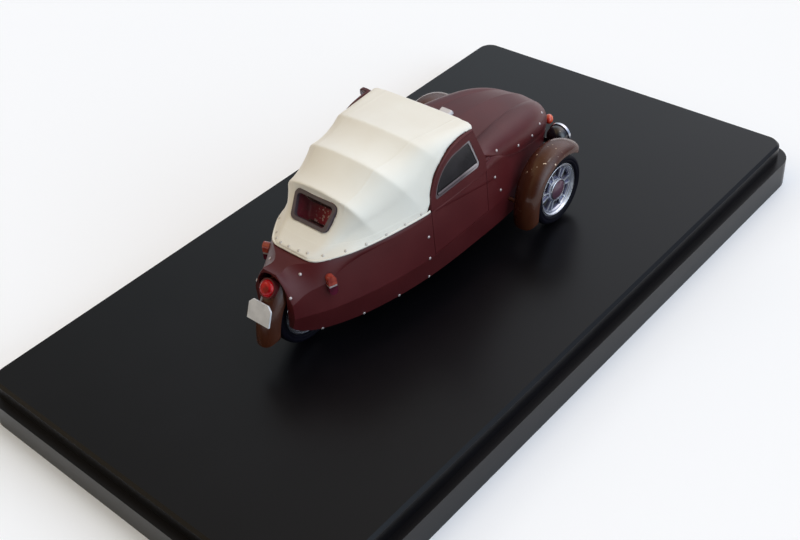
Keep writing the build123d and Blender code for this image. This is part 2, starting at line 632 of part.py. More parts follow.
LAMP_X = 8.7
LAMP_Y = -30.75
LAMP_Z = 19.1
LAMP_RADIUS = 2.25
SIDE_LAMP = (6.72, 27.1, 22.15)
SIDE_LAMP_NORMAL = (0.94, 0.33, 0.03)
for side, name in ((1, "left"), (-1, "right")):
    def facing(y, radius, length):
        return Pos(LAMP_X * side, y, LAMP_Z) * Rot(90, 0, 0) * Cylinder(radius, length)

    bucket = facing(LAMP_Y + 1.35, LAMP_RADIUS - 0.2, 2.2)
    bucket = fillet(bucket.edges().sort_by(Axis.Y)[-1], 1.6)
    arm_lamp = rod((LAMP_X * side, LAMP_Y + 1.35, LAMP_Z - 0.5), (5.0 * side, LAMP_Y + 1.35, 17.4), 0.45) - hull
    save((bucket + arm_lamp) - hood_solid, "headlamp_" + name)
    save(facing(LAMP_Y, LAMP_RADIUS, 0.5) - facing(LAMP_Y, LAMP_RADIUS - 0.4, 1), "headlamp_rim_" + name)
    save(facing(LAMP_Y - 0.05, LAMP_RADIUS - 0.4, 0.6), "headlamp_lens_" + name)
    flasher = rod((3.2 * side, -32.4, 19.5), (4.7 * side, -33.4, 19.6), 0.6)
    save(flasher - hull - hood_solid, "indicator_" + name)

lamp_base = upright_plane(SIDE_LAMP, SIDE_LAMP_NORMAL)
pill = extrude(lamp_base.offset(-0.5) * Rot(0, 0, 90) * SlotOverall(4.3, 1.75), 1.45) - hull
band = extrude(lamp_base.offset(-0.5) * Rot(0, 0, 90) * SlotOverall(4.5, 1.95), 1.55) - hull
band_low = SIDE_LAMP[2] - 0.2
band_high = SIDE_LAMP[2] + 0.2
for name, piece in (
    ("side_lamp_amber_", pill & box(3, 12, 20, 35, band_high, 30)),
    ("side_lamp_band_", band & box(3, 12, 20, 35, band_low, band_high)),
    ("side_lamp_red_", pill & box(3, 12, 20, 35, 15, band_low)),
):
    save(piece, name + "left")
    save(mirrored(piece), name + "right")

# Cabin: bench seat, dashboard, steering wheel
bench = box(-8.4, 8.4, 4.5, 12.5, FLOOR_TOP, 19.0) + box(-8.4, 8.4, 12.0, 14.2, FLOOR_TOP, 26.8)
save(bench, "seat")
dash = box(-9.0, 9.0, -9.0, -7.4, 24.2, 27.0)
dash += box(-9.0, 9.0, -9.0, -8.2, FLOOR_TOP, 24.2)
save(dash, "dashboard")
wheel_plane = Plane(origin=(4.2, -3.6, 25.2), z_dir=(0, 0.7, 0.7))
steer = wheel_plane * Torus(2.4, 0.25)
steer += wheel_plane * Box(4.6, 0.4, 0.3)
steer += rod((4.2, -3.6, 25.2), (4.2, -8.6, 20.2), 0.3) - dash
save(steer, "steering_wheel")

mirror_head = Pos(12.6, -3.6, 34.4) * Box(1.9, 0.6, 1.5)
mirror_head = fillet(mirror_head.edges().filter_by(Axis.Y), 0.5)
mirror_arm = rod((12.4, -3.6, 34.0), (11.35, -4.6, 31.6), 0.2)
save(mirror_head + mirror_arm, "mirror")

# Wiper: a motor on the top rail of the windscreen and a blade hanging on its arm
motor_plane = Plane(origin=(-4.1, -4.6, 35.35), x_dir=(1, 0, 0), z_dir=(0, -0.94, 0.35))
motor = extrude(motor_plane * RectangleRounded(2.4, 1.0, 0.4), 0.9)
wiper = motor + rod((-4.4, -5.0, 35.3), (-6.4, -6.3, 31.6), 0.16)
wiper += rod((-5.6, -5.8, 33.0), (-7.2, -6.7, 30.6), 0.2)
save(wiper - screen_frame - hood_solid, "wiper")
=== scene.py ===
# A small display model of a three wheeled car: finishes, fine fittings, light and camera.
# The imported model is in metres, +Z up, with the car's nose towards -Y.
import math

import bmesh
import bpy
from mathutils import Matrix, Vector
from mathutils.bvhtree import BVHTree


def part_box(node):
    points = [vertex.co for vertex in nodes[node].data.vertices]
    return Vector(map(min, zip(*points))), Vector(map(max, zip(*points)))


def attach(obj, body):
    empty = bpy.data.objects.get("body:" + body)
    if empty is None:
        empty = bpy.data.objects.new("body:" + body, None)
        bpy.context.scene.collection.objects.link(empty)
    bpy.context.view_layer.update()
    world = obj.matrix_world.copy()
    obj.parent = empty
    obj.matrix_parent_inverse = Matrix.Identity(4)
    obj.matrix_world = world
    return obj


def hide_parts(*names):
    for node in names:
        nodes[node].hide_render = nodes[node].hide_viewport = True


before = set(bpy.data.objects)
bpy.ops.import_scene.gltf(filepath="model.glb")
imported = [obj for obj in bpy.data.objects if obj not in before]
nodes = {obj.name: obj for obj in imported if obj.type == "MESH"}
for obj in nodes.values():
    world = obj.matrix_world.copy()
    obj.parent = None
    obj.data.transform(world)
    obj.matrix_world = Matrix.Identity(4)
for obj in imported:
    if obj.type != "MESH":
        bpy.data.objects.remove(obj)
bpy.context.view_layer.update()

# A millimetre in metres, a metre in millimetres, and how near points are merged
MM = 0.001
METRE = 1000.0
MERGE = 0.001 * MM

# The body that everything but the wheels rides on, and the two sides by the sign of x
REST = "car_and_plinth"
SIDES = ((1, "left"), (-1, "right"))


def middle_of(name):
    """The middle of a CAD node's box, in metres."""
    low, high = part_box(name)
    return (low + high) / 2


FRONT_HUB = middle_of("front_left_rim") * METRE

# Camera: where the photographer stood and looked, in millimetres, its roll in radians, and its lens
EYE = Vector((-112.62, 119.12, 137.39)) * MM
AIM = Vector((6.097, -1.059, 0.0)) * MM
ROLL = -0.10107
LENS = 53.03
SENSOR = 36.0


def stand_camera():
    back = (EYE - AIM).normalized()
    level = Vector((0, 0, 1)).cross(back).normalized()
    upright = back.cross(level)
    right = level * math.cos(ROLL) + upright * math.sin(ROLL)
    top = upright * math.cos(ROLL) - level * math.sin(ROLL)
    data = bpy.data.cameras.new("camera")
    data.sensor_width = SENSOR
    data.lens = LENS
    data.clip_start = 0.005
    data.clip_end = 20
    camera = bpy.data.objects.new("camera", data)
    bpy.context.scene.collection.objects.link(camera)
    turn = Matrix((right, top, back)).transposed().to_4x4()
    camera.matrix_world = Matrix.Translation(EYE) @ turn
    bpy.context.scene.camera = camera


stand_camera()


class Link:
    """One output of a node, so that shader sums read as plain sums."""

    def __init__(self, finish, socket):
        self.finish = finish
        self.socket = socket

    def math(self, operation, *others):
        """A math node whose first input is this link."""
        return self.finish.node("ShaderNodeMath", {"operation": operation}, [self, *others])

    def __add__(self, other):
        return self.math("ADD", other)

    __radd__ = __add__

    def __sub__(self, other):
        return self.math("SUBTRACT", other)

    def __rsub__(self, other):
        return self.finish.node("ShaderNodeMath", {"operation": "SUBTRACT"}, [other, self])

    def __mul__(self, other):
        return self.math("MULTIPLY", other)

    __rmul__ = __mul__

    def size(self):
        return self.math("ABSOLUTE")

    def ramp(self, low, high):
        """Rises smoothly from 0 at low to 1 at high."""
        values = [self, low, high, 0.0, 1.0]
        return self.finish.node("ShaderNodeMapRange", {"interpolation_type": "SMOOTHSTEP"}, values)


class Finish:
    """A material: its shader's fixed values, and the patterns that vary over the surface.

    The colour and the roughness given first are the plain ones, which a pattern may replace.
    """

    def __init__(self, name, colour, rough, **fixed):
        self.material = bpy.data.materials.new(name)
        self.material.use_nodes = True
        self.tree = self.material.node_tree
        self.shader = self.tree.nodes["Principled BSDF"]
        self.feed(self.shader.inputs["Base Color"], (*colour, 1.0))
        self.feed(self.shader.inputs["Roughness"], rough)
        for key, value in fixed.items():
            self.feed(self.shader.inputs[key.replace("_", " ")], value)
        self.point = self.node("ShaderNodeTexCoord", {}, [], "Object")
        split = self.node("ShaderNodeSeparateXYZ", {}, [self.point])
        outputs = split.socket.node.outputs
        self.x, self.y, self.z = [Link(self, socket) * METRE for socket in outputs]

    def feed(self, socket, value):
        if isinstance(value, Link):
            self.tree.links.new(value.socket, socket)
        else:
            socket.default_value = value

    def node(self, kind, settings, values, output=0):
        made = self.tree.nodes.new(kind)
        for key, value in settings.items():
            setattr(made, key, value)
        pairs = values.items() if isinstance(values, dict) else enumerate(values)
        for key, value in pairs:
            self.feed(made.inputs[key], value)
        return Link(self, made.outputs[output])

    def noise(self, per_mm, detail):
        """Cloudy noise from 0 to 1, as coarse as its scale per millimetre says."""
        values = {"Vector": self.point, "Scale": per_mm * METRE, "Detail": detail}
        return self.node("ShaderNodeTexNoise", {}, values)

    def mix(self, share, first, second):
        first = first if isinstance(first, Link) else (*first, 1.0)
        second = second if isinstance(second, Link) else (*second, 1.0)
        values = {0: share, 6: first, 7: second}
        return self.node("ShaderNodeMix", {"data_type": "RGBA"}, values, 2)

    def colour(self, value):
        self.feed(self.shader.inputs["Base Color"], value)

    def rough(self, value):
        self.feed(self.shader.inputs["Roughness"], value)

    def relief(self, height, depth_mm, strength):
        values = {"Height": height, "Distance": depth_mm * MM, "Strength": strength}
        self.feed(self.shader.inputs["Normal"], self.node("ShaderNodeBump", {}, values))


def plinth_black():
    f = Finish("plinth_black", (0.0025, 0.0025, 0.0035), 0.3, Specular_IOR_Level=0.21)
    smear = f.noise(0.03, 4.0)
    grain = f.noise(5.0, 2.0)
    f.rough(0.26 + 0.12 * smear)
    f.colour(f.mix(smear.ramp(0.4, 0.75), (0.0018, 0.0017, 0.0026), (0.0034, 0.0032, 0.0046)))
    f.relief(grain, 0.006, 0.35)
    return f.material


# The crease along each door: y and z of its front end in millimetres, and its slope
CREASE_START = -9.1
CREASE_HEIGHT = 23.0
CREASE_SLOPE = 0.182


def maroon_paint():
    f = Finish("maroon_paint", (0.070, 0.009, 0.010), 0.36, Specular_IOR_Level=0.28)
    cloud = f.noise(0.12, 3.0)
    peel = f.noise(3.2, 2.0)
    f.colour(f.mix(cloud.ramp(0.3, 0.7), (0.064, 0.0075, 0.009), (0.078, 0.0105, 0.012)))
    f.rough(0.32 + 0.12 * cloud)
    # A faint crease climbs along each door towards its rear edge
    crease = CREASE_HEIGHT + CREASE_SLOPE * (f.y - CREASE_START)
    step = (f.z - crease).ramp(-0.3, 0.3)
    side = f.x.size().ramp(9.6, 10.2) * f.y.ramp(-10.0, -7.0) * (1 - f.y.ramp(7.9, 8.1))
    f.relief(peel * 0.12 + step * side, 0.1, 0.8)
    return f.material


def brown_paint():
    f = Finish("brown_paint", (0.058, 0.017, 0.008), 0.22, Specular_IOR_Level=0.3,
               Coat_Weight=0.25, Coat_Roughness=0.08)
    cloud = f.noise(0.25, 3.0)
    peel = f.noise(1.4, 3.0)
    brown = f.mix(cloud.ramp(0.3, 0.7), (0.050, 0.014, 0.0066), (0.067, 0.020, 0.0097))
    # Painted glints: small pale spots on the rear half of the right front fender's crown
    crown = f.z.ramp(21.0, 21.8) * f.y.ramp(-21.2, -20.4) * (1 - f.y.ramp(-14.8, -14.2))
    painted_glint = f.noise(1.5, 1.0).ramp(0.70, 0.745) * crown * (1 - f.x.ramp(0.0, 1.0))
    f.colour(f.mix(painted_glint, brown, (0.85, 0.66, 0.50)))
    f.rough(0.18 + 0.14 * f.noise(0.8, 2.0))
    f.relief(peel, 0.06, 0.6)
    return f.material


def cream_cloth():
    f = Finish("cream_cloth", (0.76, 0.72, 0.63), 0.45, Sheen_Weight=0.15)
    cloud = f.noise(0.12, 3.0)
    weave = f.noise(7.0, 2.0)
    pale = f.mix(cloud.ramp(0.3, 0.72), (0.765, 0.74, 0.66), (0.80, 0.785, 0.715))
    # The cloth is darker in patches at its foot, a seam runs along each shoulder, and the foot is a raised
    # band
    darker_foot = (1 - f.z.ramp(26.6, 28.2)) * cloud.ramp(0.35, 0.7)
    f.colour(f.mix(darker_foot * 0.35, pale, (0.52, 0.47, 0.40)))
    seam_x = 7.5 - 0.075 * (f.y + 3.3)
    away = (f.x.size() - seam_x).size()
    welt = (1 - away.ramp(0.08, 0.26)) * (1 - f.y.ramp(21.6, 22.4)) * f.z.ramp(31.5, 32.5)
    band = f.z.ramp(27.62, 27.78)
    f.relief(welt * 0.2 + weave * 0.12 - band * 0.2, 0.14, 0.9)
    return f.material


def grey_trim():
    f = Finish("grey_trim", (0.10, 0.088, 0.095), 0.4)
    cloud = f.noise(0.8, 2.0)
    f.colour(f.mix(cloud, (0.05, 0.036, 0.045), (0.088, 0.066, 0.078)))
    f.relief(f.noise(6.0, 2.0), 0.01, 0.4)
    return f.material


def pale_bead():
    f = Finish("pale_bead", (0.16, 0.13, 0.135), 0.32)
    # Painted highlight: paler towards the front
    rearward = f.y.ramp(-4.4, 0.5)
    f.colour(f.mix(rearward, (0.40, 0.35, 0.35), (0.10, 0.075, 0.08)))
    f.relief(f.noise(6.0, 2.0), 0.01, 0.4)
    return f.material


def side_pane():
    f = Finish("side_pane", (0.022, 0.019, 0.021), 0.15, Specular_IOR_Level=0.4)
    haze = f.noise(0.3, 2.0)
    # Painted shadow: a dark line along the pane's foot, which falls a little towards the rear
    foot = f.z - 28.0 - 0.023 * (6.35 - f.y)
    line = 1 - foot.ramp(0.7, 0.9)
    smoke = f.mix(haze, (0.016, 0.015, 0.014), (0.030, 0.025, 0.030))
    f.colour(f.mix(line, smoke, (0.003, 0.003, 0.004)))
    f.rough(0.12 + 0.16 * haze)
    return f.material


def clear_pane():
    f = Finish("clear_pane", (0.08, 0.04, 0.045), 0.06, Alpha=0.08, Specular_IOR_Level=0.2)
    haze = f.noise(0.35, 2.0)
    f.rough(0.05 + 0.08 * haze)
    f.relief(f.noise(1.3, 1.0), 0.14, 1.0)
    return f.material


def matt_black():
    f = Finish("matt_black", (0.012, 0.012, 0.013), 0.55)
    cloud = f.noise(0.7, 3.0)
    f.colour(f.mix(cloud, (0.009, 0.009, 0.01), (0.02, 0.02, 0.022)))
    f.relief(f.noise(5.0, 2.0), 0.02, 0.5)
    return f.material


def red_leather():
    f = Finish("red_leather", (0.30, 0.024, 0.028), 0.34)
    cloud = f.noise(0.5, 3.0)
    grain = f.node("ShaderNodeTexVoronoi", {}, {"Vector": f.point, "Scale": 4.2 * METRE})
    f.colour(f.mix(cloud.ramp(0.3, 0.7), (0.24, 0.018, 0.02), (0.36, 0.03, 0.034)))
    f.rough(0.28 + 0.16 * cloud)
    f.relief(grain, 0.03, 0.5)
    return f.material


def red_lining():
    f = Finish("red_lining", (0.10, 0.008, 0.012), 0.4)
    cloud = f.noise(0.25, 3.0)
    # Painted light: brighter towards the right, with small painted glints there
    share = cloud.ramp(0.3, 0.7) * 0.5 + (1 - f.x.ramp(-1.5, 4.0)) * 0.7
    red = f.mix(share, (0.10, 0.008, 0.024), (0.52, 0.013, 0.045))
    painted_glint = f.noise(2.0, 1.0).ramp(0.62, 0.66) * (1 - f.x.ramp(1.5, 3.5))
    f.colour(f.mix(painted_glint, red, (0.95, 0.80, 0.72)))
    f.rough(0.3 + 0.2 * cloud)
    f.relief(f.noise(1.1, 2.0), 0.12, 0.8)
    return f.material


def tyre_rubber():
    f = Finish("tyre_rubber", (0.003, 0.003, 0.006), 0.5, Specular_IOR_Level=0.1)
    cloud = f.noise(0.5, 3.0)
    f.colour(f.mix(cloud, (0.002, 0.002, 0.004), (0.0045, 0.004, 0.009)))
    f.rough(0.42 + 0.2 * cloud)
    f.relief(f.noise(4.0, 3.0), 0.02, 0.5)
    return f.material


def bright_metal():
    f = Finish("bright_metal", (0.62, 0.62, 0.66), 0.24, Metallic=1.0)
    cloud = f.noise(0.9, 3.0)
    f.rough(0.18 + 0.14 * cloud)
    f.colour(f.mix(cloud, (0.52, 0.52, 0.57), (0.72, 0.72, 0.76)))
    return f.material


def wheel_metal():
    f = Finish("wheel_metal", (0.60, 0.62, 0.68), 0.25, Metallic=0.7)
    cloud = f.noise(1.2, 3.0)
    # Painted shade: the rim's outer face is bright, while its depth and a groove round the face are
    # painted dark
    out = f.x.size() - FRONT_HUB.x
    along = f.y - FRONT_HUB.y
    up = f.z - FRONT_HUB.z
    away = (up * up + along * along).math("SQRT")
    face = out.ramp(0.26, 0.46)
    groove_shade = away.ramp(4.12, 4.2) * (1 - away.ramp(4.42, 4.56))
    bright = f.mix(cloud, (0.72, 0.75, 0.82), (0.93, 0.94, 0.97))
    f.colour(f.mix(face * (1 - groove_shade * 0.6), (0.17, 0.17, 0.26), bright))
    f.rough(0.22 + 0.14 * cloud)
    return f.material


def cap_paint():
    f = Finish("cap_paint", (0.085, 0.034, 0.054), 0.3, Coat_Weight=0.3, Coat_Roughness=0.2)
    cloud = f.noise(0.6, 2.0)
    f.colour(f.mix(cloud.ramp(0.3, 0.7), (0.075, 0.024, 0.038), (0.10, 0.046, 0.07)))
    f.relief(f.noise(2.5, 2.0), 0.02, 0.5)
    return f.material


def gloss_black():
    f = Finish("gloss_black", (0.008, 0.006, 0.009), 0.1, Coat_Weight=0.4, Coat_Roughness=0.05)
    cloud = f.noise(0.8, 2.0)
    f.rough(0.08 + 0.1 * cloud)
    return f.material


def wiper_grey():
    f = Finish("wiper_grey", (0.50, 0.47, 0.46), 0.5, Specular_IOR_Level=0.4)
    cloud = f.noise(1.5, 2.0)
    f.colour(f.mix(cloud, (0.52, 0.50, 0.52), (0.70, 0.68, 0.70)))
    return f.material


def mirror_grey():
    f = Finish("mirror_grey", (0.10, 0.08, 0.11), 0.18, Metallic=0.6)
    cloud = f.noise(0.8, 2.0)
    f.rough(0.12 + 0.14 * cloud)
    return f.material


def plain_steel():
    f = Finish("plain_steel", (0.5, 0.5, 0.51), 0.35, Metallic=1.0)
    turned = f.noise(1.5, 3.0)
    f.rough(0.28 + 0.18 * turned)
    return f.material


def stud_metal():
    f = Finish("stud_metal", (0.5, 0.44, 0.44), 0.3, Metallic=0.55)
    cloud = f.noise(2.0, 2.0)
    f.rough(0.24 + 0.14 * cloud)
    f.colour(f.mix(cloud, (0.42, 0.36, 0.36), (0.58, 0.53, 0.53)))
    return f.material


def snap_metal():
    f = Finish("snap_metal", (0.52, 0.49, 0.46), 0.35, Metallic=0.2)
    cloud = f.noise(2.0, 2.0)
    f.colour(f.mix(cloud, (0.44, 0.41, 0.38), (0.62, 0.59, 0.55)))
    return f.material


def red_lens():
    f = Finish("red_lens", (0.36, 0.004, 0.010), 0.12, Specular_IOR_Level=0.3)
    ripple = f.noise(0.9, 1.0)
    f.colour(f.mix(ripple.ramp(0.3, 0.7), (0.17, 0.001, 0.002), (0.42, 0.004, 0.009)))
    f.relief(ripple, 0.03, 0.4)
    return f.material


def amber_lens():
    f = Finish("amber_lens", (0.30, 0.045, 0.03), 0.12, Specular_IOR_Level=0.4, Coat_Weight=0.4)
    ripple = f.noise(1.2, 2.0)
    f.colour(f.mix(ripple.ramp(0.3, 0.7), (0.22, 0.028, 0.022), (0.38, 0.07, 0.045)))
    f.relief(ripple, 0.03, 0.4)
    return f.material


def signal_lens():
    f = Finish("signal_lens", (0.50, 0.06, 0.02), 0.1, Specular_IOR_Level=0.45, Coat_Weight=0.5)
    ripple = f.noise(1.1, 1.0)
    f.colour(f.mix(ripple.ramp(0.35, 0.65), (0.45, 0.012, 0.008), (0.62, 0.09, 0.03)))
    f.relief(ripple, 0.05, 0.5)
    return f.material


def dark_red_lens():
    f = Finish("dark_red_lens", (0.08, 0.005, 0.02), 0.12, Specular_IOR_Level=0.4, Coat_Weight=0.4)
    ripple = f.noise(1.2, 2.0)
    f.colour(f.mix(ripple.ramp(0.3, 0.7), (0.05, 0.003, 0.012), (0.10, 0.007, 0.024)))
    f.relief(ripple, 0.03, 0.4)
    return f.material


def fluted_lens():
    f = Finish("fluted_lens", (0.62, 0.64, 0.66), 0.1, Metallic=0.35, Coat_Weight=0.6)
    # Upright flutes across the glass, with painted highlights on their crests and painted shade in their
    # troughs
    flute = (f.x * 9.0).math("SINE")
    f.colour(f.mix(flute.ramp(-1.0, 1.0), (0.45, 0.47, 0.50), (0.74, 0.76, 0.78)))
    f.relief(flute, 0.04, 0.7)
    return f.material


def white_plate():
    f = Finish("white_plate", (0.70, 0.70, 0.70), 0.35)
    cloud = f.noise(0.6, 3.0)
    f.colour(f.mix(cloud.ramp(0.3, 0.75), (0.66, 0.67, 0.69), (0.55, 0.56, 0.58)))
    f.relief(f.noise(3.0, 2.0), 0.01, 0.4)
    return f.material


MAROON = maroon_paint()
BROWN = brown_paint()
CREAM = cream_cloth()
GREY = grey_trim()
BLACK = matt_black()
LEATHER = red_leather()
LINING = red_lining()
RUBBER = tyre_rubber()
BRIGHT = bright_metal()
WHEEL = wheel_metal()
CAP = cap_paint()
BUCKET = gloss_black()
WIPER = wiper_grey()
MIRROR = mirror_grey()
BEAD = pale_bead()
STEEL = plain_steel()
STUD = stud_metal()
SNAP = snap_metal()
RED = red_lens()
DARK_RED = dark_red_lens()
AMBER = amber_lens()
SIGNAL = signal_lens()
FLUTED = fluted_lens()
WHITE = white_plate()
SIDE_PANE = side_pane()
CLEAR_PANE = clear_pane()
PLINTH = plinth_black()

# Which finish each CAD node wears. The first line counts whose word starts the name,
# or ends it where the word begins with an underscore. All other nodes are matt black.
FINISHES = [
    ("plinth", PLINTH),
    ("screw", STEEL),
    ("door_glass", SIDE_PANE),
    ("windscreen_glass", CLEAR_PANE),
    ("rear_window_glass", CLEAR_PANE),
    ("windscreen_frame", GREY),
    ("rear_window_frame", GREY),
    ("window_bead", BEAD),
    ("door", MAROON),
    ("body_shell", MAROON),
    ("hood", MAROON),
    ("tail_lamp_base", MAROON),
    ("mirror", MAROON),
    ("dashboard", MAROON),
    ("fender", BROWN),
    ("roof", CREAM),
    ("seat", LEATHER),
    ("headlamp_rim", BRIGHT),
    ("headlamp_lens", FLUTED),
    ("headlamp", BUCKET),
    ("tail_lamp", RED),
    ("side_lamp_amber", AMBER),
    ("side_lamp_band", BRIGHT),
    ("side_lamp_red", DARK_RED),
    ("indicator", SIGNAL),
    ("plate", WHITE),
    ("wiper", WIPER),
    ("rear_rim", BRIGHT),
    ("_rim", WHEEL),
    ("_hub_cap", CAP),
    ("_tyre", RUBBER),
]


def dress(name, thing):
    finish = BLACK
    for word, material in FINISHES:
        if name.startswith(word) or (word[0] == "_" and name.endswith(word)):
            finish = material
            break
    thing.data.materials.clear()
    thing.data.materials.append(finish)


for name, thing in nodes.items():
    dress(name, thing)


def finished(bm, name, finish, body, replaced=()):
    """Turns a bmesh in metres into a piece that rides on a body."""
    mesh = bpy.data.meshes.new(name)
    bm.to_mesh(mesh)
    bm.free()
    for face in mesh.polygons:
        face.use_smooth = True
    mesh.materials.append(finish)
    piece = bpy.data.objects.new(name, mesh)
    bpy.context.scene.collection.objects.link(piece)
    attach(piece, body)
    if replaced:
        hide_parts(*replaced)
    return piece


def ball(name, finish, side, middle, half, slant=0.0):
    """A round piece on one side of the car: its middle and half sizes in millimetres, slant in radians."""
    x, y, z = middle
    place = Matrix.Translation(Vector((side * x, y, z)) * MM)
    form = Matrix.Rotation(-side * slant, 4, "Z") @ Matrix.Diagonal((*half, 1))
    bm = bmesh.new()
    bmesh.ops.create_uvsphere(bm, u_segments=28, v_segments=16, radius=MM, matrix=place @ form)
    finished(bm, name, finish, REST)


def shape_of(name):
    """A merged copy of a CAD node's mesh."""
    bm = bmesh.new()
    bm.from_mesh(nodes[name].data)
    bmesh.ops.remove_doubles(bm, verts=bm.verts, dist=2 * MERGE)
    return bm


def surface_of(name):
    """A search tree over a CAD node's faces."""
    bm = bmesh.new()
    bm.from_mesh(nodes[name].data)
    tree = BVHTree.FromBMesh(bm)
    bm.free()
    return tree


def spin_round(bm, outline, axis, steps):
    """Turns an outline once round a line through the origin."""
    bmesh.ops.spin(bm, geom=outline, axis=axis, cent=(0, 0, 0), steps=steps,
                   angle=2 * math.pi, use_merge=True)
    bmesh.ops.remove_doubles(bm, verts=bm.verts, dist=MERGE)


def lathe(profile, centre, steps):
    """Closed ring from (x, radius) points in millimetres, turned round a line along X."""
    bm = bmesh.new()
    points = [bm.verts.new((x * MM, 0, radius * MM)) for x, radius in profile]
    edges = [bm.edges.new((a, b)) for a, b in zip(points, points[1:] + points[:1])]
    spin_round(bm, points + edges, (1, 0, 0), steps)
    bmesh.ops.recalc_face_normals(bm, faces=bm.faces)
    bmesh.ops.translate(bm, verts=bm.verts, vec=centre)
    return bm


# The rear pane's middle, the way it faces and the way up along it, and the pocket behind it:
# half its width and height, and where it begins and ends, counted outwards, in millimetres
PANE_MIDDLE = Vector((0, 22.7, 30.66))
PANE_OUT = Vector((0, 0.81, 0.59))
PANE_UP = Vector((0, -0.59, 0.81))
POCKET_HALF_WIDTH = 4.4
POCKET_HALF_HEIGHT = 2.7
POCKET_NEAR = -0.5
POCKET_FAR = -12


def behind_pane(place):
    """Whether a point in millimetres lies in the pocket behind the rear pane."""
    away = place - PANE_MIDDLE
    across = abs(away.x) < POCKET_HALF_WIDTH
    level = abs(away.dot(PANE_UP)) < POCKET_HALF_HEIGHT
    return across and level and POCKET_FAR < away.dot(PANE_OUT) < POCKET_NEAR


# Roof: how fine the cloth is evened and how often smoothed, the height of the cabin's middle,
# and how squarely a face has to look at that middle to count as lining
CLOTH_GRAIN = 0.2 * MM
CLOTH_TURNS = 5
CABIN_HEIGHT = 24 * MM
LINING_SHARE = 0.35


# The cloth is softened over its bows and along its edges, and lined in red
def soft_roof():
    bm = shape_of("roof")
    mesh = bpy.data.meshes.new("roof_cloth_rough")
    bm.to_mesh(mesh)
    bm.free()
    rough = bpy.data.objects.new("roof_cloth_rough", mesh)
    bpy.context.scene.collection.objects.link(rough)
    remesh = rough.modifiers.new("even", "REMESH")
    remesh.mode = "VOXEL"
    remesh.voxel_size = CLOTH_GRAIN
    graph = bpy.context.evaluated_depsgraph_get()
    even = bpy.data.meshes.new_from_object(rough.evaluated_get(graph))
    bpy.data.objects.remove(rough)
    soft = bmesh.new()
    soft.from_mesh(even)
    for turn in range(CLOTH_TURNS):
        bmesh.ops.smooth_vert(soft, verts=soft.verts, factor=0.5, use_axis_x=True,
                              use_axis_y=True, use_axis_z=True)
    for face in soft.faces:
        middle = face.calc_center_median()
        inward = Vector((-middle.x, 0, CABIN_HEIGHT - middle.z)).normalized()
        inside = face.normal.dot(inward) > LINING_SHARE or behind_pane(middle / MM)
        face.material_index = 1 if inside else 0
    cloth = finished(soft, "roof_cloth", CREAM, REST, ["roof"])
    cloth.data.materials.append(LINING)


soft_roof()

# Hem: the turned edge of the cloth where it meets the body, right half, in millimetres
HEM_RADIUS = 0.2
HEM_LINE = [
    (-11.0, 8.25, 26.45), (-11.12, 8.7, 26.45), (-10.74, 11.5, 26.5), (-10.05, 15.5, 26.5),
    (-9.17, 19.2, 26.5), (-8.12, 22.6, 26.48), (-7.4, 24.1, 26.45), (-6.5, 25.5, 26.35),
    (-5.3, 27.2, 26.23), (-4.6, 27.86, 26.19), (-3.6, 28.3, 26.2), (-1.8, 28.37, 26.23),
]

# Edge of each door's frame against the cloth, as y and z in millimetres, and its x
WELT_RADIUS = 0.25
WELT_X = 10.93
DOOR_ARCH = [
    (7.95, 26.6), (7.95, 27.6), (7.75, 28.91), (7.34, 30.16), (6.74, 31.34), (5.96, 32.41), (5.02, 33.34),
    (3.94, 34.11), (2.76, 34.7), (1.5, 35.1), (-0.05, 35.41), (-1.62, 35.55), (-3.15, 35.5),
]

# Ledge along the foot of each door's pane, in the same way
LEDGE_RADIUS = 0.25
LEDGE_X = 10.84
LEDGE_LINE = [(-4.0, 28.5), (0.0, 28.41), (5.9, 28.28)]


def bead(name, rows, radius, finish):
    """A round moulding along points in millimetres, joined to the car all along."""
    curve = bpy.data.curves.new(name, "CURVE")
    curve.dimensions = "3D"
    curve.bevel_depth = radius * MM
    curve.bevel_resolution = 3
    curve.resolution_u = 6
    curve.use_fill_caps = True
    line = curve.splines.new("NURBS")
    line.points.add(len(rows) - 1)
    line.order_u = 3
    line.use_endpoint_u = True
    for point, place in zip(line.points, rows):
        point.co = (*(Vector(place) * MM), 1)
    holder = bpy.data.objects.new(name, curve)
    mesh = bpy.data.meshes.new_from_object(holder)
    bpy.data.objects.remove(holder)
    bm = bmesh.new()
    bm.from_mesh(mesh)
    bpy.data.meshes.remove(mesh)
    finished(bm, name, finish, REST)


bead("roof_hem", HEM_LINE + [(-x, y, z) for x, y, z in HEM_LINE[::-1]], HEM_RADIUS, CREAM)
for side, name in SIDES:
    bead("door_welt_" + name, [(side * WELT_X, y, z) for y, z in DOOR_ARCH], WELT_RADIUS, MAROON)
for side, name in SIDES:
    bead("window_ledge_" + name, [(side * LEDGE_X, y, z) for y, z in LEDGE_LINE], LEDGE_RADIUS, BEAD)

# Tyres with a tread of three grooves and a line round each wall, as x and radius in millimetres
TYRE_STEPS = 84
TYRE_HALF_PROFILE = [
    (0.10, 6.50), (0.13, 6.60), (0.42, 6.60), (0.46, 6.50), (0.56, 6.50), (0.60, 6.585),
    (0.86, 6.50), (1.12, 6.28), (1.27, 5.98), (1.30, 5.72), (1.24, 5.67), (1.24, 5.58),
    (1.30, 5.53), (1.29, 5.35), (1.22, 5.17), (0.95, 4.95),
]
TYRE_PROFILE = [(-x, r) for x, r in TYRE_HALF_PROFILE[::-1]] + TYRE_HALF_PROFILE

for wheel in ("front_left", "front_right", "rear"):
    tread = lathe(TYRE_PROFILE, middle_of(wheel + "_tyre"), TYRE_STEPS)
    finished(tread, wheel + "_tread", RUBBER, wheel + "_wheel", [wheel + "_tyre"])


def ring_profile(radius, half_width, half_height):
    """Eight points round a ring's section, as x and radius in millimetres."""
    turns = [step * math.pi / 4 for step in range(8)]
    return [(half_width * math.cos(turn), radius + half_height * math.sin(turn)) for turn in turns]


